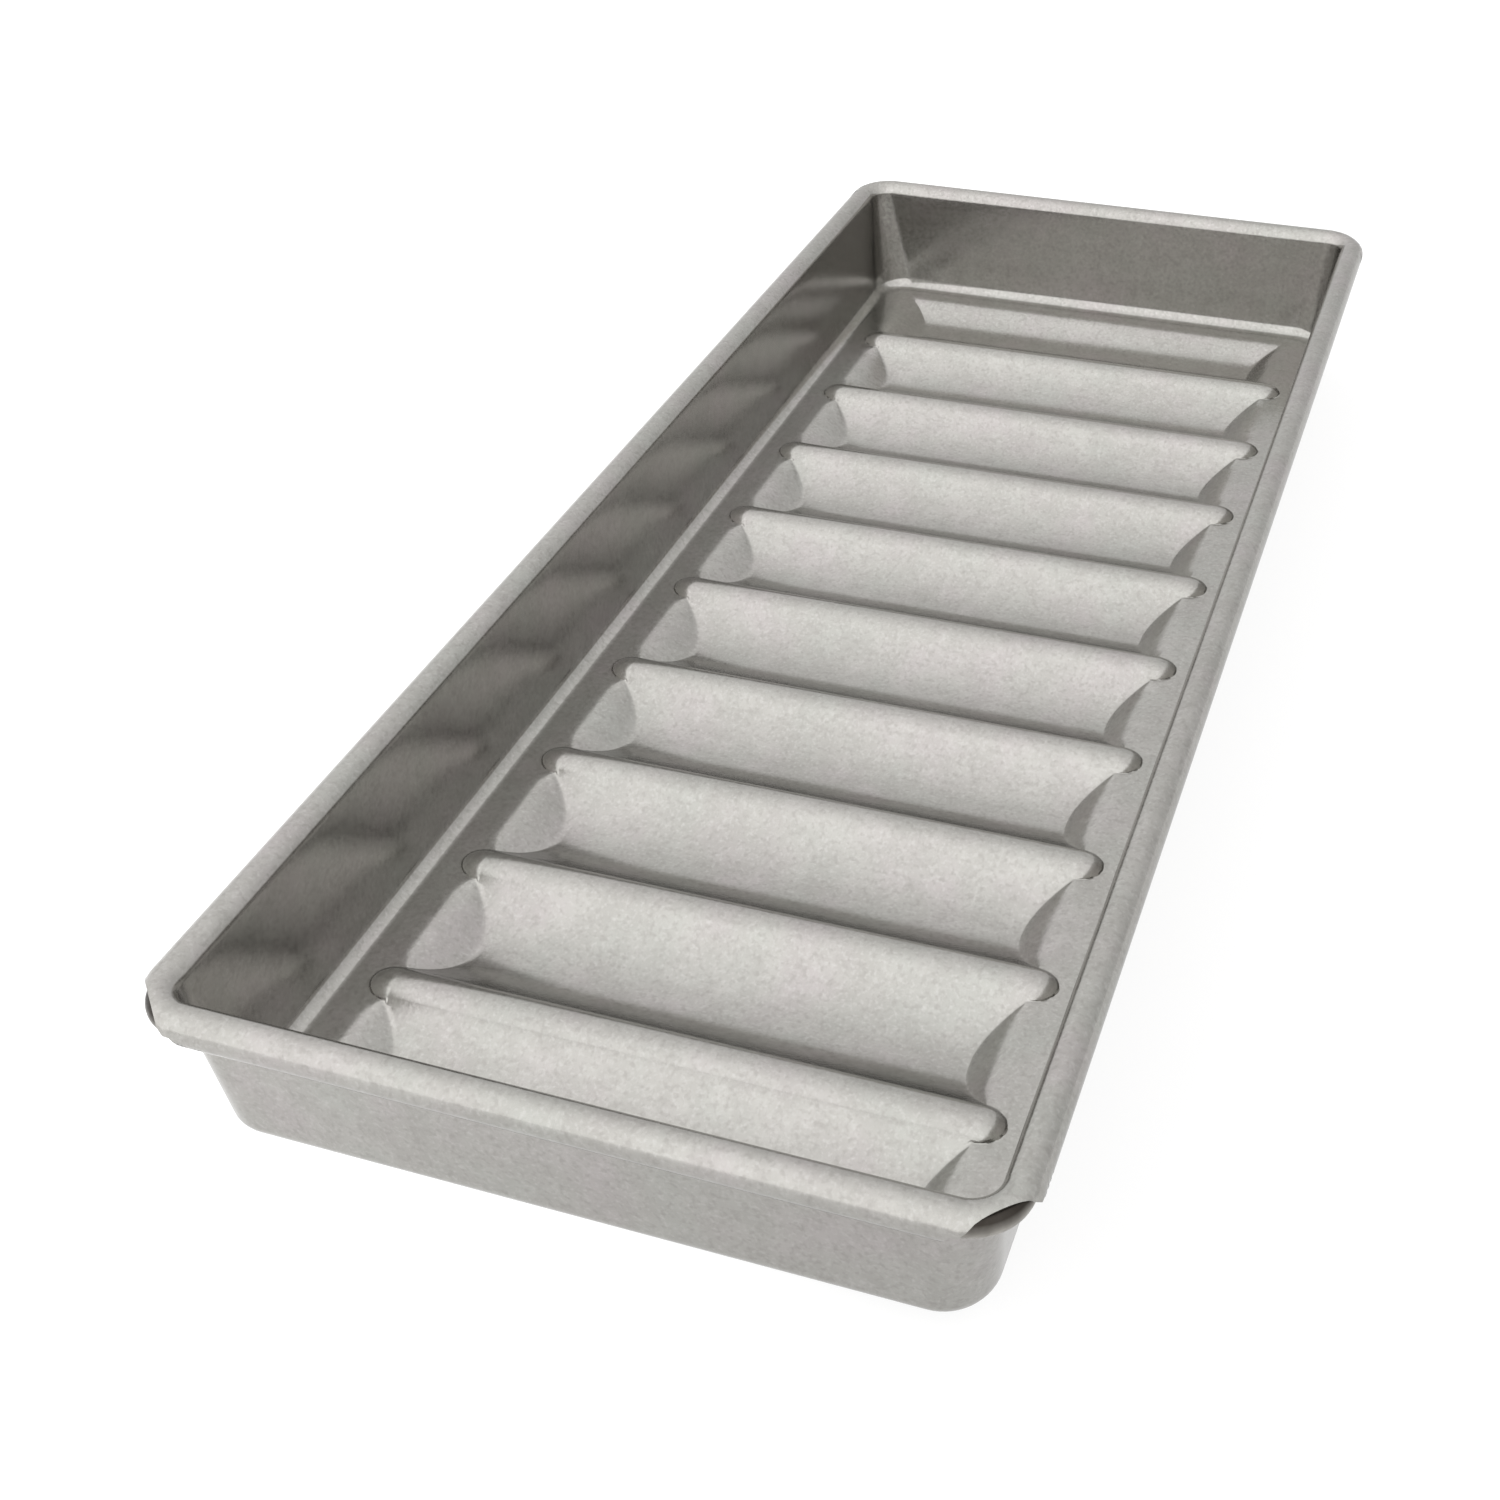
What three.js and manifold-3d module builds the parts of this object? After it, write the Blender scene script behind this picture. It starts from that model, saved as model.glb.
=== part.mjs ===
// Baking pan with ten cross channels: one drawn sheet with its edge rolled over a wire.
// Units are millimetres. X runs across the pan, Y along it, Z up. The origin is the middle
// of the plane that the channel bottoms stand on.

import * as THREE from 'three';
import { mergeVertices } from 'three/addons/utils/BufferGeometryUtils.js';
import Module from 'manifold-3d';

// ---------------------------------------------------------------- driving dimensions
const SHEET = 0.8; // thickness of the pan's sheet
const RIM_WIDTH = 171.5; // outside of the rolled rim, along X
const RIM_LENGTH = 410; // outside of the rolled rim, along Y
const HEIGHT = 41.5; // standing plane to the top of the rim

const CHANNELS = 10;
const PITCH = 38.1; // from one ridge to the next
const CHANNEL_DEPTH = 7.9; // from a ridge's crest to the lowest line of the full wave
const FLAT_HALF_WIDTH = 2.5; // half of the narrow flat that each channel stands on
const RIDGE_RADIUS = 5.8; // food side of a ridge's rounded top
const NOSE_AXIS_X = 63; // centre of the rounded end of each ridge
const CHANNEL_FOOT_X = 54.5; // where the sloping end of a channel meets its lowest line
const CHANNEL_MOUTH_X = 64; // where the sloping end meets the shelf
const SHELF_Z = 6.3; // food side of the level shelf round the channels

const DRAFT = THREE.MathUtils.degToRad(5.6); // lean of the four walls
const WALL_FILLET = 3.5; // wall to shelf, food side
const WALL_CORNER_RADIUS = 10; // upright corners at the foot of the walls, food side
const SHELF_LAP = 3; // width of shelf swept together with the walls
const FLOOR_OVERLAP = 1; // how far the pressed floor reaches into that lap

const RIM_RADIUS = 3.6; // outside of the rolled edge
const RIM_CORNER_RADIUS = 12.6; // plan radius of the rim's outside
const CURL_END = THREE.MathUtils.degToRad(318); // how far the sheet wraps round the wire
const CORNER_TRIM = 10.4; // the curl is cut off where |dx| + |dy| from the corner is less
const CORNER_TRIM_BELOW = 16; // the same for the part under the wire

const WIRE_RADIUS = 2.45;
const WIRE_GAP = 0.6; // between the butted ends of the wire

const RIDGE_STEPS = 3; // facets in half a ridge top
const FLANK_STEPS = 4; // facets in one flank of a channel
const NOSE_STEPS = 12; // facets round a ridge's end
const CORNER_STEPS = 5; // facets in each plan corner
const CURL_STEPS = 12;
const FILLET_STEPS = 3;
const WIRE_SIDES = 12;
const CUT_REACH = 6; // how far cutting bodies reach past the sheet
const MERGE_TOLERANCE = 1e-4;

// ---------------------------------------------------------------- worked out from them
const FLANK_ANGLE = 2 * Math.atan(CHANNEL_DEPTH / (PITCH / 2)); // steepest part of the wave
const FLANK_RADIUS = PITCH / 2 / Math.sin(FLANK_ANGLE) - RIDGE_RADIUS;
const FLAT_ANGLE = Math.asin(FLAT_HALF_WIDTH / (FLANK_RADIUS + SHEET));
const CHANNEL_AXIS_Z = (FLANK_RADIUS + SHEET) * Math.cos(FLAT_ANGLE);
const RIDGE_AXIS_Z = CHANNEL_AXIS_Z - (FLANK_RADIUS + RIDGE_RADIUS) * Math.cos(FLANK_ANGLE);
const CHANNELS_HALF_LENGTH = (CHANNELS * PITCH) / 2;
const ROLL_Z = HEIGHT - RIM_RADIUS;

const FILLET_Z = SHELF_Z + WALL_FILLET;
const WALL_DROP = ROLL_Z - FILLET_Z + (RIM_RADIUS + WALL_FILLET) * Math.sin(DRAFT);
const FILLET_INSET = RIM_RADIUS + (RIM_RADIUS + WALL_FILLET) * Math.cos(DRAFT)
  + WALL_DROP * Math.tan(DRAFT);

const wasm = await Module();
wasm.setup();

const aluminisedSteel = new THREE.MeshStandardMaterial({
  color: 0xa9a7a2, roughness: 0.42, metalness: 0.9,
});
const plainWire = new THREE.MeshStandardMaterial({
  color: 0x77746f, roughness: 0.4, metalness: 0.9,
});

// ---------------------------------------------------------------- solids and booleans
function solidFrom(geometry) {
  const bare = geometry.index ? geometry.toNonIndexed() : geometry.clone();
  bare.deleteAttribute('normal');
  bare.deleteAttribute('uv');
  const welded = mergeVertices(bare, MERGE_TOLERANCE);
  const corners = [...welded.index.array];
  const kept = [];
  for (let i = 0; i < corners.length; i += 3) {
    const [a, b, c] = corners.slice(i, i + 3);
    if (a !== b && b !== c && c !== a) kept.push(a, b, c);
  }
  return new wasm.Manifold(new wasm.Mesh({
    numProp: 3,
    vertProperties: new Float32Array(welded.attributes.position.array),
    triVerts: new Uint32Array(kept),
  }));
}

function geometryFrom(solid) {
  const mesh = solid.getMesh();
  const geometry = new THREE.BufferGeometry();
  const positions = new Float32Array(mesh.vertProperties);
  geometry.setAttribute('position', new THREE.BufferAttribute(positions, 3));
  geometry.setIndex([...mesh.triVerts]);
  const faceted = geometry.toNonIndexed();
  faceted.computeVertexNormals();
  return faceted;
}

function joined(solids) {
  return solids.reduce((whole, solid) => whole.add(solid));
}

function extrudeUp(shape, bottom, top) {
  const options = { depth: top - bottom, bevelEnabled: false, curveSegments: CORNER_STEPS };
  return solidFrom(new THREE.ExtrudeGeometry(shape, options).translate(0, 0, bottom));
}

// A shape drawn as (Y, Z), extruded both ways along X.
function extrudeAlongX(points, halfLength) {
  const shape = new THREE.Shape(points.map(([y, z]) => new THREE.Vector2(y, z)));
  const geometry = new THREE.ExtrudeGeometry(shape, { depth: 2 * halfLength, bevelEnabled: false });
  geometry.translate(0, 0, -halfLength);
  const turn = new THREE.Matrix4().makeBasis(
    new THREE.Vector3(0, 1, 0),
    new THREE.Vector3(0, 0, 1),
    new THREE.Vector3(1, 0, 0),
  );
  return solidFrom(geometry.applyMatrix4(turn));
}

// A shape drawn as (X, Z), extruded both ways along Y.
function extrudeAlongY(points, halfLength) {
  const shape = new THREE.Shape(points.map(([x, z]) => new THREE.Vector2(x, z)));
  const geometry = new THREE.ExtrudeGeometry(shape, { depth: 2 * halfLength, bevelEnabled: false });
  return solidFrom(geometry.translate(0, 0, -halfLength).rotateX(Math.PI / 2));
}

function roundedRectangle(halfWidth, halfLength, radius) {
  const [x, y] = [halfWidth - radius, halfLength - radius];
  const shape = new THREE.Shape();
  shape.absarc(x, y, radius, 0, Math.PI / 2);
  shape.absarc(-x, y, radius, Math.PI / 2, Math.PI);
  shape.absarc(-x, -y, radius, Math.PI, 1.5 * Math.PI);
  shape.absarc(x, -y, radius, 1.5 * Math.PI, 2 * Math.PI);
  return shape;
}

// A closed section carried round the rim. Each station of the section has an inset from the
// rim's outside, a height, and the plan radius it turns the corners with.
function sweepRoundRim(section) {
  const loop = [...section, section[0]];
  const stops = 4 * (CORNER_STEPS + 1);
  const ring = loop.map(({ inset, z }) => new THREE.Vector2(RIM_WIDTH / 2 - inset, z));
  const geometry = new THREE.LatheGeometry(ring, stops);
  const position = geometry.attributes.position;
  for (let i = 0; i < position.count; i++) {
    const { inset, z, radius } = loop[i % loop.length];
    const stop = Math.floor(i / loop.length) % stops;
    const quarter = Math.floor(stop / (CORNER_STEPS + 1));
    const turn = (quarter + (stop % (CORNER_STEPS + 1)) / CORNER_STEPS) * (Math.PI / 2);
    const signX = quarter === 0 || quarter === 3 ? 1 : -1;
    const signY = quarter < 2 ? 1 : -1;
    position.setXYZ(
      i,
      signX * (RIM_WIDTH / 2 - inset - radius) + radius * Math.cos(turn),
      signY * (RIM_LENGTH / 2 - inset - radius) + radius * Math.sin(turn),
      z,
    );
  }
  return solidFrom(geometry);
}

// ---------------------------------------------------------------- corrugated floor
// Half of one wave as (distance from the ridge, height), from the crest to the flat.
// `inward` moves the line into the sheet: 0 is the food side, SHEET the underside.
function halfWave(inward) {
  const points = [];
  for (let i = 0; i <= RIDGE_STEPS; i++) {
    const a = (FLANK_ANGLE * i) / RIDGE_STEPS;
    const r = RIDGE_RADIUS - inward;
    points.push([r * Math.sin(a), RIDGE_AXIS_Z + r * Math.cos(a)]);
  }
  for (let i = 1; i <= FLANK_STEPS; i++) {
    const a = FLANK_ANGLE + ((FLAT_ANGLE - FLANK_ANGLE) * i) / FLANK_STEPS;
    const r = FLANK_RADIUS + inward;
    points.push([PITCH / 2 - r * Math.sin(a), CHANNEL_AXIS_Z - r * Math.cos(a)]);
  }
  return points;
}

function waves(inward, halfLength) {
  const half = halfWave(inward);
  const line = [];
  for (let i = 0; i <= CHANNELS; i++) {
    const ridge = i * PITCH - CHANNELS_HALF_LENGTH;
    const rising = half.slice(1).reverse().map(([d, z]) => [ridge - d, z]);
    const falling = half.map(([d, z]) => [ridge + d, z]);
    line.push(...(i > 0 ? rising : []), ...(i < CHANNELS ? falling : [[ridge, half[0][1]]]));
  }
  line.push([CHANNELS_HALF_LENGTH, -CUT_REACH], [-CHANNELS_HALF_LENGTH, -CUT_REACH]);
  return extrudeAlongX(line, halfLength);
}

// The rounded ends of the nine ridges, standing on plain round posts.
function noses(inward) {
  const r = RIDGE_RADIUS - inward;
  const profile = [new THREE.Vector2(0, -CUT_REACH), new THREE.Vector2(r, -CUT_REACH)];
  for (let i = 2 * RIDGE_STEPS; i >= 0; i--) {
    const a = (Math.PI / 2) * (i / (2 * RIDGE_STEPS));
    profile.push(new THREE.Vector2(r * Math.sin(a), RIDGE_AXIS_Z + r * Math.cos(a)));
  }
  const post = new THREE.LatheGeometry(profile, NOSE_STEPS).rotateX(Math.PI / 2);
  const placed = [];
  for (let i = 1; i < CHANNELS; i++) {
    for (const x of [-NOSE_AXIS_X, NOSE_AXIS_X]) {
      const y = i * PITCH - CHANNELS_HALF_LENGTH;
      placed.push(solidFrom(post.clone().translate(x, y, 0)));
    }
  }
  return joined(placed);
}

// Space between the two sloping ends that all the channels share.
function betweenEnds(outward) {
  const lowest = CHANNEL_AXIS_Z - FLANK_RADIUS;
  const rise = SHELF_Z - lowest;
  const run = CHANNEL_MOUTH_X - CHANNEL_FOOT_X;
  const shift = (outward * Math.hypot(rise, run)) / rise;
  const endX = (z) => CHANNEL_FOOT_X + shift + ((z - lowest) * run) / rise;
  const [bottom, top] = [-CUT_REACH, SHELF_Z + CUT_REACH];
  const corners = [[-endX(bottom), bottom], [endX(bottom), bottom], [endX(top), top], [-endX(top), top]];
  return extrudeAlongY(corners, CHANNELS_HALF_LENGTH - RIDGE_RADIUS / 2);
}

// Everything under one face of the floor sheet.
function underFloor(inward, margin) {
  const inset = FILLET_INSET + SHELF_LAP - FLOOR_OVERLAP - margin;
  const outline = roundedRectangle(
    RIM_WIDTH / 2 - inset, RIM_LENGTH / 2 - inset, WALL_CORNER_RADIUS - WALL_FILLET);
  const hollow = betweenEnds(inward).subtract(waves(inward, RIM_WIDTH / 2));
  const shelf = extrudeUp(outline, -CUT_REACH, SHELF_Z - inward);
  return shelf.subtract(hollow).add(waves(inward, NOSE_AXIS_X)).add(noses(inward));
}

function pressedFloor() {
  return underFloor(0, 0).subtract(underFloor(SHEET, 1));
}

// ---------------------------------------------------------------- walls and rolled rim
// One face of the sheet from the curl's free edge, over the rim and down to the shelf.
function wallFace(inward) {
  const stations = [];
  for (let i = 0; i <= CURL_STEPS; i++) {
    const a = CURL_END + ((DRAFT - CURL_END) * i) / CURL_STEPS;
    const r = RIM_RADIUS - inward;
    const inset = RIM_RADIUS + r * Math.cos(a);
    stations.push({ inset, z: ROLL_Z + r * Math.sin(a), radius: RIM_CORNER_RADIUS - inset });
  }
  for (let i = 0; i <= FILLET_STEPS; i++) {
    const a = DRAFT + ((Math.PI / 2 - DRAFT) * i) / FILLET_STEPS;
    const r = WALL_FILLET + inward;
    stations.push({
      inset: FILLET_INSET - r * Math.cos(a),
      z: FILLET_Z - r * Math.sin(a),
      radius: WALL_CORNER_RADIUS - WALL_FILLET + r * Math.cos(a),
    });
  }
  stations.push({
    inset: FILLET_INSET + SHELF_LAP,
    z: SHELF_Z - inward,
    radius: WALL_CORNER_RADIUS - WALL_FILLET,
  });
  return stations;
}

function cornerTrims(reach, bottom, top) {
  const trims = [];
  for (const [sx, sy] of [[1, 1], [-1, 1], [-1, -1], [1, -1]]) {
    const [x, y] = [(sx * RIM_WIDTH) / 2, (sy * RIM_LENGTH) / 2];
    const out = CUT_REACH;
    const shape = new THREE.Shape([
      new THREE.Vector2(x + sx * out, y + sy * out),
      new THREE.Vector2(x - sx * (reach + out), y + sy * out),
      new THREE.Vector2(x + sx * out, y - sy * (reach + out)),
    ]);
    trims.push(extrudeUp(shape, bottom, top));
  }
  return joined(trims);
}

function walls() {
  const section = [...wallFace(0), ...wallFace(SHEET).reverse()];
  const below = ROLL_Z - RIM_RADIUS - CUT_REACH;
  return sweepRoundRim(section)
    .subtract(cornerTrims(CORNER_TRIM, below, HEIGHT + CUT_REACH))
    .subtract(cornerTrims(CORNER_TRIM_BELOW, below, ROLL_Z - WIRE_RADIUS / 2));
}

// ---------------------------------------------------------------- wire in the rim
function rimWire() {
  const section = [];
  for (let i = 0; i < WIRE_SIDES; i++) {
    const a = (2 * Math.PI * i) / WIRE_SIDES;
    const inset = RIM_RADIUS + WIRE_RADIUS * Math.cos(a);
    const z = ROLL_Z + WIRE_RADIUS * Math.sin(a);
    section.push({ inset, z, radius: RIM_CORNER_RADIUS - inset });
  }
  const gap = new THREE.BoxGeometry(4 * RIM_RADIUS, WIRE_GAP, 4 * RIM_RADIUS);
  gap.translate(RIM_WIDTH / 2 - RIM_RADIUS, 0, ROLL_Z);
  return sweepRoundRim(section.reverse()).subtract(solidFrom(gap));
}

// ---------------------------------------------------------------- assembly
function part(name, solid, material) {
  const mesh = new THREE.Mesh(geometryFrom(solid), material);
  mesh.name = name;
  return mesh;
}

const pan = new THREE.Group();
pan.name = 'channelled_baking_pan';
pan.add(part('pan', walls().add(pressedFloor()), aluminisedSteel));
pan.add(part('rim_wire', rimWire(), plainWire));

export default pan;
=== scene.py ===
import math

import bmesh
import bpy
from mathutils import Euler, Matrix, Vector


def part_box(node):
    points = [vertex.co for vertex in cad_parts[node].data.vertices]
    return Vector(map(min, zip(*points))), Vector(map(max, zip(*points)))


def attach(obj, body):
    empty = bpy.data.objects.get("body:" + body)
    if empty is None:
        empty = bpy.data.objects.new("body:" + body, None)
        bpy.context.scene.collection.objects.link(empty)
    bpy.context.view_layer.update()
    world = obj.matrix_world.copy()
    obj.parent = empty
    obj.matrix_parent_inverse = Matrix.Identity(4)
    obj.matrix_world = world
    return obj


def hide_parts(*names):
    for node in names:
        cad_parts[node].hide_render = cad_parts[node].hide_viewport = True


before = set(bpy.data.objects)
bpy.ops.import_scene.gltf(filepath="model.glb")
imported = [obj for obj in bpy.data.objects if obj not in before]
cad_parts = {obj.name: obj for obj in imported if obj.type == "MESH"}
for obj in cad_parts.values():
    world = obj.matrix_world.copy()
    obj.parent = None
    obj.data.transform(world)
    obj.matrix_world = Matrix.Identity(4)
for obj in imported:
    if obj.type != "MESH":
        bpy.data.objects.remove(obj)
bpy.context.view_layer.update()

# Lengths are in metres. X runs across the pan, Y along it, and z = 0 is where it stands.
MM = 0.001

# ------------------------------------------------------------------ sizes from the frame
_, pan_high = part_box("pan")
wire_low, wire_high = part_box("rim_wire")
HALF_WIDTH = pan_high[0]
HALF_LENGTH = pan_high[1]
HEIGHT = pan_high[2]
WIRE_RADIUS = (wire_high[2] - wire_low[2]) / 2

# ------------------------------------------------------------------ the sheet
SHEET = 0.8 * MM
CHANNELS = 10
PITCH = 38.1 * MM
CHANNEL_DEPTH = 7.9 * MM
RIDGE_RADIUS = 5.8 * MM
NOSE_AXIS_X = 61.6 * MM  # each ridge starts to round off here
NOSE_REACH = 6.2 * MM  # length of that rounded end
FOOT_X = 54.5 * MM  # a channel's sloping end starts here
MOUTH_X = 62.4 * MM  # and meets the shelf here, 1.6 mm before the CAD's does
SHELF_Z = 6.3 * MM
FILLET_RADIUS = 3.5 * MM  # wall to shelf, food side
FILLET_CORNER = 6.5 * MM  # plan radius of that fillet's foot
DRAFT = math.radians(5.6)
ROLL_RADIUS = 3.6 * MM
RIM_CORNER = 12.6 * MM  # plan radius of the rim's outside
CURL_END = math.radians(325)
TRIM = 10.4 * MM  # the curl is cut along |dx| + |dy| = TRIM from the rim's corner
CURL_RUNOUT = 6 * MM  # length of rim over which the curl closes beside a corner
WIRE_HALF_GAP = 0.3 * MM  # from the middle of the wire's joint to either end

# Follow from the sizes above: the arcs of channels and ridges touch at FLANK_ANGLE.
FLANK_ANGLE = 2 * math.atan(2 * CHANNEL_DEPTH / PITCH)
FLANK_RADIUS = PITCH / 2 / math.sin(FLANK_ANGLE) - RIDGE_RADIUS
CHANNEL_AXIS_Z = FLANK_RADIUS + SHEET
RIDGE_AXIS_Z = CHANNEL_AXIS_Z - (FLANK_RADIUS + RIDGE_RADIUS) * math.cos(FLANK_ANGLE)
CREST_Z = RIDGE_AXIS_Z + RIDGE_RADIUS
FLOOR_HALF = CHANNELS * PITCH / 2
ROLL_Z = HEIGHT - ROLL_RADIUS
FILLET_Z = SHELF_Z + FILLET_RADIUS
WALL_DROP = ROLL_Z - FILLET_Z + (ROLL_RADIUS + FILLET_RADIUS) * math.sin(DRAFT)
FILLET_INSET = (
    ROLL_RADIUS
    + (ROLL_RADIUS + FILLET_RADIUS) * math.cos(DRAFT)
    + WALL_DROP * math.tan(DRAFT)
)

# ------------------------------------------------------------------ mesh fineness
RIDGE_STEPS = 8
FLANK_STEPS = 10
MIDDLE_STEPS = 14
END_STEPS = 9
SHELF_STEPS = 8
CORNER_STEPS = 14
WALL_STEPS = 8
FILLET_STEPS = 8
CURL_STEPS = 30
WIRE_SIDES = 24
WIRE_CORNER_STEPS = 16
FINE_STEP = MM / 4  # between rows where a flank meets the shelf
FINE_STEPS = range(-3, 6)
LEAST_ROW_GAP = MM / 20
LEAST_CREASE_GAP = MM  # between the two creases of a row; half of it beside a ridge's end
SHARP_EDGE = math.radians(50)  # shading breaks at edges that turn more than this

# ------------------------------------------------------------------ roundness of the creases
# Two surfaces that meet are blended where their heights differ by less than this.
CREASE_SOFTNESS = 0.4 * MM  # all creases but these two kinds:
SHELF_SOFTNESS = 2 * MM  # where a channel meets the shelf
END_SOFTNESS = 3.2 * MM  # the same beyond the first and last ridge
SOFT_FROM_RIDGE = 4 * MM  # a shelf crease gets its full softness this far from a ridge
SOFTNESS_AT_RIDGE = 0.1  # the part of it that is left beside the ridge


# ------------------------------------------------------------------ shape of the floor
def larger(a, b, softness=CREASE_SOFTNESS):
    """The larger of two heights, with the crease between them slightly rounded."""
    near = max(1 - abs(a - b) / softness, 0)
    return max(a, b) + near * near * softness / 4


def smaller(a, b, softness):
    """The smaller of two heights, blended in the same way."""
    return -larger(-a, -b, softness)


def channel_height(d):
    """Height of a channel's arc at a distance from the ridge beside it."""
    return CHANNEL_AXIS_Z - math.sqrt(FLANK_RADIUS**2 - (PITCH / 2 - d) ** 2)


def ridge_profile(d):
    """Height at a distance from the middle of a ridge, down into the channel."""
    if d < RIDGE_RADIUS * math.sin(FLANK_ANGLE):
        return RIDGE_AXIS_Z + math.sqrt(RIDGE_RADIUS**2 - d * d)
    return channel_height(min(d, PITCH / 2))


SHELF_ANGLE = math.acos((CHANNEL_AXIS_Z - SHELF_Z) / FLANK_RADIUS)
LAND_HALF = PITCH / 2 - FLANK_RADIUS * math.sin(SHELF_ANGLE)  # where a flank meets the shelf


def nearest_line(y):
    """Middle of the nearest ridge, or the end of the pattern beyond the last channel."""
    return round(y / PITCH) * PITCH


def nose_height(past, d):
    """A ridge's rounded end, which drops more steeply at its tip than along its sides."""
    past *= LAND_HALF / NOSE_REACH
    reach = math.hypot(past, d)
    if reach >= LAND_HALF:
        return 0
    dome = SHELF_Z + (CREST_Z - SHELF_Z) * math.sqrt(1 - (reach / LAND_HALF) ** 2)
    tip = past / reach
    return tip * dome + (1 - tip) * ridge_profile(reach)


def floor_height(x, y):
    """Height of the food side of the floor, from the shelf on one side to the other."""
    line = nearest_line(y)
    d = abs(y - line)
    end = SHEET + (abs(x) - FOOT_X) * (SHELF_Z - SHEET) / (MOUTH_X - FOOT_X)
    on_ridge = abs(line) < FLOOR_HALF - PITCH / 2
    past = abs(x) - NOSE_AXIS_X
    softness = END_SOFTNESS
    if on_ridge:
        away = (d - LAND_HALF) / SOFT_FROM_RIDGE
        softness = SHELF_SOFTNESS * min(max(away, SOFTNESS_AT_RIDGE), 1)
    if on_ridge and past <= 0:
        return larger(ridge_profile(d), smaller(end, SHELF_Z, softness))
    # Beyond the last channel there is only shelf, so the channel is put well above it.
    channel = SHELF_Z + PITCH if abs(y) > FLOOR_HALF else channel_height(d)
    pressed = smaller(larger(channel, end), SHELF_Z, softness)
    return larger(pressed, nose_height(past, d)) if on_ridge else pressed


def crease_columns(y):
    """X of the two creases that a row across the floor passes on its way to the wall."""
    line = nearest_line(y)
    d = abs(y - line)
    ridge_here = abs(line) < FLOOR_HALF - PITCH / 2
    if d < LAND_HALF and ridge_here:
        reach = math.sqrt(LAND_HALF**2 - d * d) * NOSE_REACH / LAND_HALF
        return NOSE_AXIS_X, NOSE_AXIS_X + max(reach, LEAST_CREASE_GAP / 2)
    rise = (min(channel_height(d), SHELF_Z) - SHEET) / (SHELF_Z - SHEET)
    if d < LAND_HALF or abs(y) > FLOOR_HALF:
        rise = 1
    crease = FOOT_X + rise * (MOUTH_X - FOOT_X)
    return min(crease, MOUTH_X - LEAST_CREASE_GAP), MOUTH_X


# ------------------------------------------------------------------ the sheet's plan
def corner_centre(inset, radius):
    """Centre of the right far corner of a rounded outline that lies inside the rim's box."""
    return HALF_WIDTH - inset - radius, HALF_LENGTH - inset - radius


def rows():
    """Y of the rows across the floor, closest where the surface turns most."""
    ridge_turns = [FLANK_ANGLE * i / RIDGE_STEPS for i in range(RIDGE_STEPS + 1)]
    flank_turns = [FLANK_ANGLE * i / FLANK_STEPS for i in range(1, FLANK_STEPS)]
    steps = [RIDGE_RADIUS * math.sin(a) for a in ridge_turns]
    steps += [PITCH / 2 - FLANK_RADIUS * math.sin(a) for a in flank_turns]
    steps += [LAND_HALF + i * FINE_STEP for i in FINE_STEPS]
    found = {0.0}
    for ridge in range(CHANNELS + 1):
        for d in steps:
            for y in (ridge * PITCH - FLOOR_HALF - d, ridge * PITCH - FLOOR_HALF + d):
                found.add(round(abs(y), 6))
    _, centre_y = corner_centre(FILLET_INSET, FILLET_CORNER)
    last = FLOOR_HALF - LAND_HALF + FINE_STEP
    half = sorted(y for y in found if y < min(last, centre_y) - LEAST_ROW_GAP)
    turns = [math.pi / 2 * i / CORNER_STEPS for i in range(CORNER_STEPS + 1)]
    half += [centre_y + FILLET_CORNER * math.sin(a) for a in turns]
    return [-y for y in reversed(half[1:])] + half


def row_columns(y):
    """X of the points of one row, from the left edge of the shelf to the right."""
    centre_x, centre_y = corner_centre(FILLET_INSET, FILLET_CORNER)
    up = min(max(abs(y) - centre_y, 0) / FILLET_CORNER, 1)
    edge = centre_x + FILLET_CORNER * math.sqrt(1 - up * up)
    first, second = crease_columns(y)
    half = [first * math.sin(math.pi / 2 * i / MIDDLE_STEPS) for i in range(MIDDLE_STEPS)]
    for start, stop, count in ((first, second, END_STEPS), (second, edge, SHELF_STEPS)):
        for i in range(count):
            half.append(start + (stop - start) * (1 - math.cos(math.pi * i / count)) / 2)
    half.append(edge)
    return [-x for x in reversed(half[1:])] + half


def edge_place(x, y):
    """Where a point of the shelf's edge lies on the outline: its corner turn, or how far
    along a straight side, from 0 in the middle to 1 where the corner starts."""
    centre_x, centre_y = corner_centre(FILLET_INSET, FILLET_CORNER)
    if abs(y) <= centre_y:
        return "side", abs(y) / centre_y
    if abs(x) <= centre_x:
        return "end", abs(x) / centre_x
    return "corner", math.atan2(abs(y) - centre_y, abs(x) - centre_x)


def station_point(point, inset, radius, z):
    """The point above one of the shelf's edge, on an outline at an inset and a height."""
    x, y = point
    centre_x, centre_y = corner_centre(inset, radius)
    kind, along = edge_place(x, y)
    if kind == "side":
        place = (centre_x + radius, along * centre_y)
    elif kind == "end":
        place = (along * centre_x, centre_y + radius)
    else:
        place = (centre_x + radius * math.cos(along), centre_y + radius * math.sin(along))
    return math.copysign(place[0], x), math.copysign(place[1], y), z


def curl_reach(point):
    """How far the sheet wraps round the wire above this point of the outline."""
    kind, along = edge_place(*point)
    if kind == "corner":
        cut = (2 * RIM_CORNER - TRIM) / (math.cos(along) + math.sin(along))
        inset = max(RIM_CORNER - cut, 0)
        return math.acos((inset - ROLL_RADIUS) / ROLL_RADIUS)
    straight = (HALF_LENGTH if kind == "side" else HALF_WIDTH) - RIM_CORNER
    from_corner = (1 - along) * straight
    return math.pi + (CURL_END - math.pi) * min(from_corner / CURL_RUNOUT, 1)


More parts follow.
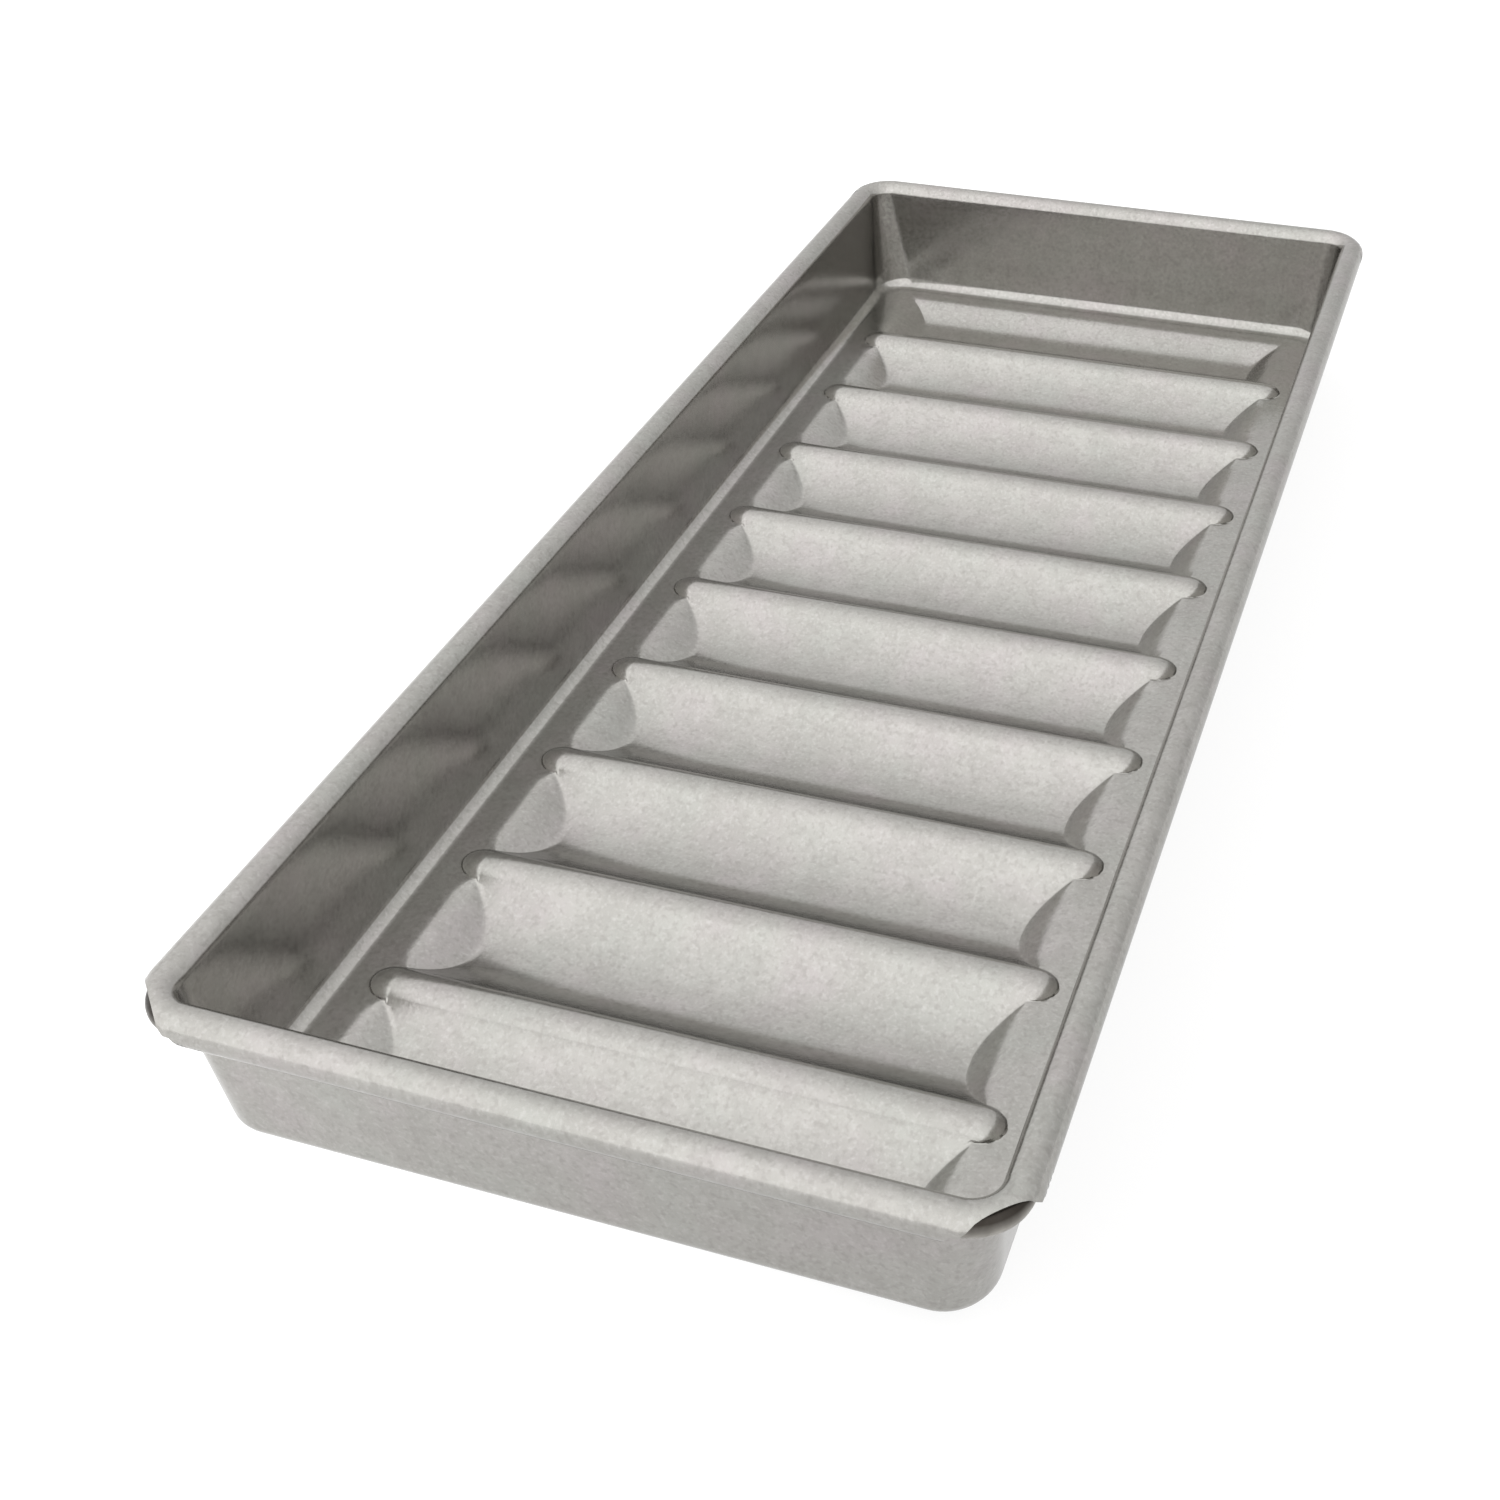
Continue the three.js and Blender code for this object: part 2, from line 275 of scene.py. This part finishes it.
def wall_stations(point):
    """The sheet from the fillet's foot up the wall and round the roll at one point."""
    stations = []
    for i in range(FILLET_STEPS):
        a = math.pi / 2 + (DRAFT - math.pi / 2) * i / FILLET_STEPS
        inset = FILLET_INSET - FILLET_RADIUS * math.cos(a)
        radius = FILLET_CORNER + FILLET_RADIUS * math.cos(a)
        stations.append((inset, radius, FILLET_Z - FILLET_RADIUS * math.sin(a)))
    foot_inset = FILLET_INSET - FILLET_RADIUS * math.cos(DRAFT)
    foot_radius = FILLET_CORNER + FILLET_RADIUS * math.cos(DRAFT)
    foot_z = FILLET_Z - FILLET_RADIUS * math.sin(DRAFT)
    top_inset = ROLL_RADIUS * (1 + math.cos(DRAFT))
    top_z = ROLL_Z + ROLL_RADIUS * math.sin(DRAFT)
    for i in range(WALL_STEPS):
        t = i / WALL_STEPS
        inset = foot_inset + (top_inset - foot_inset) * t
        radius = foot_radius + (RIM_CORNER - top_inset - foot_radius) * t
        stations.append((inset, radius, foot_z + (top_z - foot_z) * t))
    reach = curl_reach(point)
    for i in range(CURL_STEPS + 1):
        a = DRAFT + (reach - DRAFT) * i / CURL_STEPS
        inset = ROLL_RADIUS * (1 + math.cos(a))
        stations.append((inset, RIM_CORNER - inset, ROLL_Z + ROLL_RADIUS * math.sin(a)))
    return stations


# ------------------------------------------------------------------ meshes
def new_object(name, verts, faces):
    """A mesh object in the scene, with no material yet."""
    mesh = bpy.data.meshes.new(name)
    mesh.from_pydata(verts, [], faces)
    mesh.validate()
    obj = bpy.data.objects.new(name, mesh)
    bpy.context.scene.collection.objects.link(obj)
    return obj


def finish_surface(obj):
    """Smooth shading that keeps real edges sharp."""
    obj.data.shade_smooth()
    obj.data.set_sharp_from_angle(angle=SHARP_EDGE)


def grid_faces(row_starts, count):
    """Quads between rows of equally many points."""
    faces = []
    for a, b in zip(row_starts, row_starts[1:]):
        faces += [(a + i, a + i + 1, b + i + 1, b + i) for i in range(count - 1)]
    return faces


def sheet_surface():
    """The food side of the whole sheet as one open surface, faces pointing into the pan."""
    verts, lines = [], []
    for y in rows():
        columns = row_columns(y)
        lines.append(len(verts))
        verts += [(x, y, floor_height(x, y)) for x in columns]
    wide = len(row_columns(0))
    faces = grid_faces(lines, wide)

    right = [start + wide - 1 for start in lines]
    far = [lines[-1] + i for i in range(wide - 2, 0, -1)]
    left = list(reversed(lines))
    near = [lines[0] + i for i in range(1, wide - 1)]
    rim_loop = right + far + left + near
    below = rim_loop
    stacks = [wall_stations(verts[v][:2]) for v in rim_loop]
    for level in range(1, len(stacks[0])):
        first = len(verts)
        for v, stack in zip(rim_loop, stacks):
            verts.append(station_point(verts[v][:2], *stack[level]))
        above = list(range(first, first + len(rim_loop)))
        for i, v in enumerate(below):
            j = (i + 1) % len(below)
            faces.append((v, above[i], above[j], below[j]))
        below = above
    return verts, faces


def make_pan():
    """The sheet, thickened away from the food side."""
    pan = new_object("pan_sheet", *sheet_surface())
    thickness = pan.modifiers.new("sheet", "SOLIDIFY")
    thickness.thickness = SHEET
    thickness.offset = -1
    bpy.context.view_layer.update()
    depsgraph = bpy.context.evaluated_depsgraph_get()
    solid = bpy.data.meshes.new_from_object(pan.evaluated_get(depsgraph))
    pan.modifiers.clear()
    pan.data = solid
    finish_surface(pan)
    return pan


def make_wire():
    """One bent wire whose two ends butt inside the roll of a long side."""
    bend = RIM_CORNER - ROLL_RADIUS
    side_x = HALF_WIDTH - ROLL_RADIUS
    path = [(side_x, WIRE_HALF_GAP, (0, 1))]
    for quarter in range(4):
        sx = 1 if quarter in (0, 3) else -1
        sy = 1 if quarter < 2 else -1
        for i in range(WIRE_CORNER_STEPS + 1):
            a = math.pi / 2 * (quarter + i / WIRE_CORNER_STEPS)
            x = sx * (HALF_WIDTH - RIM_CORNER) + bend * math.cos(a)
            y = sy * (HALF_LENGTH - RIM_CORNER) + bend * math.sin(a)
            path.append((x, y, (-math.sin(a), math.cos(a))))
    path.append((side_x, -WIRE_HALF_GAP, (0, 1)))
    verts, rings = [], []
    for x, y, (along_x, along_y) in path:
        rings.append(len(verts))
        for i in range(WIRE_SIDES):
            a = 2 * math.pi * i / WIRE_SIDES
            out = WIRE_RADIUS * math.cos(a)
            up = WIRE_RADIUS * math.sin(a)
            verts.append((x + along_y * out, y - along_x * out, ROLL_Z + up))
    faces = []
    for a, b in zip(rings, rings[1:]):
        for i in range(WIRE_SIDES):
            j = (i + 1) % WIRE_SIDES
            faces.append((a + i, b + i, b + j, a + j))
    faces.append(tuple(range(WIRE_SIDES)))
    faces.append(tuple(rings[-1] + i for i in reversed(range(WIRE_SIDES))))
    wire = new_object("bent_rim_wire", verts, faces)
    clean = bmesh.new()
    clean.from_mesh(wire.data)
    bmesh.ops.recalc_face_normals(clean, faces=clean.faces)
    clean.to_mesh(wire.data)
    clean.free()
    finish_surface(wire)
    return wire


# ------------------------------------------------------------------ materials
# Noises of the sheet: scale, where a larger one is finer, and detail.
SPECKLE = (1150, 2.0)
GRAIN = (800, 2.0)
BLOTCH = (210, 3.0)
CLOUD = (26, 3.0)
TINT = (60, 3.0)
CLOUD_RANGE = (0.35, 0.65)  # values of the noise between which dark turns to light
CLOUD_DARK = (0.335, 0.327, 0.308)
CLOUD_LIGHT = (0.37, 0.361, 0.342)
# Tones laid over the clouds in turn: the noise, the values of it between which the tone
# fades, the tone's strength at those two values, and its colour.
SHEET_TONES = [
    (TINT, (0.5, 0.68), (0, 0.8), (0.366, 0.342, 0.336)),
    (TINT, (0.32, 0.48), (0.8, 0), (0.345, 0.346, 0.323)),
    (BLOTCH, (0.4, 0.62), (0.28, 0), (0.27, 0.262, 0.245)),
    (SPECKLE, (0.5, 0.75), (0, 0.42), (0.455, 0.445, 0.43)),
    (GRAIN, (0.28, 0.5), (0.5, 0), (0.25, 0.24, 0.225)),
]
NOISE_RANGE = (0.3, 0.7)  # a noise stays mostly between these values
CLOUD_ROUGHNESS = (0.16, 0.2)
GRAIN_ROUGHNESS = (0.0, 0.04)  # added to that of the clouds
SHEET_BUMP = (0.000015, 0.6)  # height in metres and strength
GRAZING_TINT = 0.9  # keeps a dull sheet from flashing white where it is seen edge-on

STAIN = (180, 3.0)
DRAWN_LINE = (900, 2.0)
STAIN_RANGE = (0.35, 0.65)
WIRE_DARK = (0.16, 0.15, 0.135)
WIRE_LIGHT = (0.32, 0.305, 0.28)
# Painted shade: a near-black colour laid over the wire's top, under the sheet's curl and its cut
# edge.
PAINTED_SHADE_COLOUR = (0.02, 0.016, 0.013)
PAINTED_SHADE_HEIGHTS = (ROLL_Z - 0.3 * MM, ROLL_Z + 1.4 * MM)  # painted shade: the wire's top is darkened where the sheet's curl covers it
PAINTED_SHADE_STRENGTH = (0, 0.92)
WIRE_ROUGHNESS = (0.3, 0.45)
WIRE_BUMP = (0.00002, 0.5)

PAPER = (0.2, 0.2, 0.2, 1)
PAPER_ROUGHNESS = 0.85
FLOOR_GLOW = 1.12
GLOW_LEFT = (1, 1, 1)
GLOW_RIGHT = (0.68, 0.68, 0.68)
GLOW_FADE = (-0.1, 0.1)  # X in metres over which the glow turns from left to right


class Nodes:
    """Short calls for building a node tree."""

    def __init__(self, name):
        self.material = bpy.data.materials.new(name)
        self.material.use_nodes = True
        self.tree = self.material.node_tree
        self.shader = self.tree.nodes["Principled BSDF"]
        self.place = self.add("ShaderNodeTexCoord").outputs["Object"]
        parts = self.add("ShaderNodeSeparateXYZ")
        self.link(self.place, parts.inputs[0])
        self.across = parts.outputs["X"]
        self.height = parts.outputs["Z"]

    def add(self, kind, **settings):
        node = self.tree.nodes.new(kind)
        for key, value in settings.items():
            setattr(node, key, value)
        return node

    def link(self, source, target):
        self.tree.links.new(source, target)

    def noise(self, scale, detail):
        node = self.add("ShaderNodeTexNoise")
        node.inputs["Scale"].default_value = scale
        node.inputs["Detail"].default_value = detail
        self.link(self.place, node.inputs["Vector"])
        return node.outputs["Fac"]

    def remap(self, source, old, new):
        """The range old of a value, stretched to the range new and held at its ends."""
        node = self.add("ShaderNodeMapRange")
        for socket, value in zip(("From Min", "From Max", "To Min", "To Max"), (*old, *new)):
            node.inputs[socket].default_value = value
        self.link(source, node.inputs["Value"])
        return node.outputs["Result"]

    def mix(self, factor, a, b):
        """A colour from a, a colour or a socket, at factor 0 to b at factor 1."""
        node = self.add("ShaderNodeMix", data_type="RGBA")
        self.link(factor, node.inputs["Factor"])
        for socket, value in ((node.inputs[6], a), (node.inputs[7], b)):
            if isinstance(value, tuple):
                socket.default_value = (*value, 1)
            else:
                self.link(value, socket)
        return node.outputs[2]

    def add_values(self, a, b):
        node = self.add("ShaderNodeMath", operation="ADD")
        self.link(a, node.inputs[0])
        self.link(b, node.inputs[1])
        return node.outputs[0]

    def bump(self, height, distance, strength):
        node = self.add("ShaderNodeBump")
        node.inputs["Strength"].default_value = strength
        node.inputs["Distance"].default_value = distance
        self.link(height, node.inputs["Height"])
        self.link(node.outputs["Normal"], self.shader.inputs["Normal"])


def aluminised_sheet():
    """Hot-dipped aluminium on steel: matt, faintly mottled, with a fine grainy speckle."""
    m = Nodes("aluminised_sheet")
    m.shader.inputs["Metallic"].default_value = 1.0
    m.shader.inputs["Specular Tint"].default_value = (GRAZING_TINT, GRAZING_TINT, GRAZING_TINT, 1)
    noises = {kind: m.noise(*kind) for kind in (SPECKLE, GRAIN, BLOTCH, CLOUD, TINT)}
    color = m.mix(m.remap(noises[CLOUD], CLOUD_RANGE, (0, 1)), CLOUD_DARK, CLOUD_LIGHT)
    for kind, values, strengths, tone in SHEET_TONES:
        color = m.mix(m.remap(noises[kind], values, strengths), color, tone)
    m.link(color, m.shader.inputs["Base Color"])
    cloud_rough = m.remap(noises[CLOUD], NOISE_RANGE, CLOUD_ROUGHNESS)
    grain_rough = m.remap(noises[GRAIN], NOISE_RANGE, GRAIN_ROUGHNESS)
    m.link(m.add_values(cloud_rough, grain_rough), m.shader.inputs["Roughness"])
    m.bump(m.add_values(noises[SPECKLE], noises[GRAIN]), *SHEET_BUMP)
    return m.material


def dull_wire():
    """Plain drawn steel wire: darker than the sheet, faintly uneven, with painted shade on its
    top where the curl covers it.
    """
    m = Nodes("drawn_steel_wire")
    m.shader.inputs["Metallic"].default_value = 1.0
    stain = m.noise(*STAIN)
    line = m.noise(*DRAWN_LINE)
    color = m.mix(m.remap(stain, STAIN_RANGE, (0, 1)), WIRE_DARK, WIRE_LIGHT)
    # Painted shade: the wire is darkened towards its top, where the sheet's curl covers it.
    painted_shade = m.remap(m.height, PAINTED_SHADE_HEIGHTS, PAINTED_SHADE_STRENGTH)
    m.link(m.mix(painted_shade, color, PAINTED_SHADE_COLOUR), m.shader.inputs["Base Color"])
    m.link(m.remap(line, NOISE_RANGE, WIRE_ROUGHNESS), m.shader.inputs["Roughness"])
    m.bump(line, *WIRE_BUMP)
    return m.material


def pale_floor():
    """White paper that glows, more so on the left, so that hardly any shadow shows on it."""
    m = Nodes("pale_floor")
    m.shader.inputs["Base Color"].default_value = PAPER
    m.shader.inputs["Roughness"].default_value = PAPER_ROUGHNESS
    fade = m.remap(m.across, GLOW_FADE, (0, 1))
    m.link(m.mix(fade, GLOW_LEFT, GLOW_RIGHT), m.shader.inputs["Emission Color"])
    m.shader.inputs["Emission Strength"].default_value = FLOOR_GLOW
    return m.material


def give(obj, material):
    obj.data.materials.clear()
    obj.data.materials.append(material)


# ------------------------------------------------------------------ studio
CAMERA_PLACE = Vector((0.14957, -0.44054, 0.32344))
CAMERA_TURN = Euler((math.radians(64.886), math.radians(0.616), math.radians(17.711)))
CAMERA_LENS = 51.85
CAMERA_SHIFT = (-0.1245, -0.3145)
SENSOR_WIDTH = 36  # millimetres, as is the lens
NEAR_CLIP = 0.01

# The sky's strength rises with how far a direction turns towards the bright side: it is dim
# below the first of FACING_RANGE and bright above the second.
BRIGHT_SIDE = (-0.38, -0.8, 0.42)
FACING_RANGE = (-0.7, 0.9)
DIM_LEVEL = 0.95
BRIGHT_LEVEL = 1.98

FLOOR_REACH = 20
FLOOR_DROP = 0.05 * MM  # below the pan, so that the two do not coincide


def add_camera():
    """The camera that was fitted to the photograph."""
    data = bpy.data.cameras.new("camera")
    data.lens = CAMERA_LENS
    data.sensor_width = SENSOR_WIDTH
    data.shift_x, data.shift_y = CAMERA_SHIFT
    data.clip_start = NEAR_CLIP
    camera = bpy.data.objects.new("camera", data)
    camera.location = CAMERA_PLACE
    camera.rotation_euler = CAMERA_TURN
    bpy.context.scene.collection.objects.link(camera)
    bpy.context.scene.camera = camera


def add_floor():
    """A level floor that reaches far beyond the pan on all sides."""
    signs = ((-1, -1), (1, -1), (1, 1), (-1, 1))
    corners = [(sx * FLOOR_REACH, sy * FLOOR_REACH, 0) for sx, sy in signs]
    floor = new_object("floor", corners, [(0, 1, 2, 3)])
    floor.location.z = -FLOOR_DROP
    give(floor, pale_floor())


def add_light():
    """An even white sky, brighter behind the camera on the left."""
    world = bpy.data.worlds.new("studio")
    world.use_nodes = True
    tree = world.node_tree
    background = tree.nodes["Background"]
    background.inputs["Color"].default_value = (1, 1, 1, 1)
    direction = tree.nodes.new("ShaderNodeTexCoord").outputs["Generated"]
    facing = tree.nodes.new("ShaderNodeVectorMath")
    facing.operation = "DOT_PRODUCT"
    facing.inputs[1].default_value = Vector(BRIGHT_SIDE).normalized()
    ramp = tree.nodes.new("ShaderNodeMapRange")
    ramp.inputs["From Min"].default_value, ramp.inputs["From Max"].default_value = FACING_RANGE
    ramp.inputs["To Min"].default_value = DIM_LEVEL
    ramp.inputs["To Max"].default_value = BRIGHT_LEVEL
    tree.links.new(direction, facing.inputs[0])
    tree.links.new(facing.outputs["Value"], ramp.inputs["Value"])
    tree.links.new(ramp.outputs["Result"], background.inputs["Strength"])
    bpy.context.scene.world = world


# ------------------------------------------------------------------ assembly
sheet = make_pan()
give(sheet, aluminised_sheet())
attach(sheet, "root")
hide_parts("pan")

wire = make_wire()
give(wire, dull_wire())
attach(wire, "root")
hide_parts("rim_wire")

add_floor()
add_light()
add_camera()
bpy.context.scene.view_settings.view_transform = "Standard"
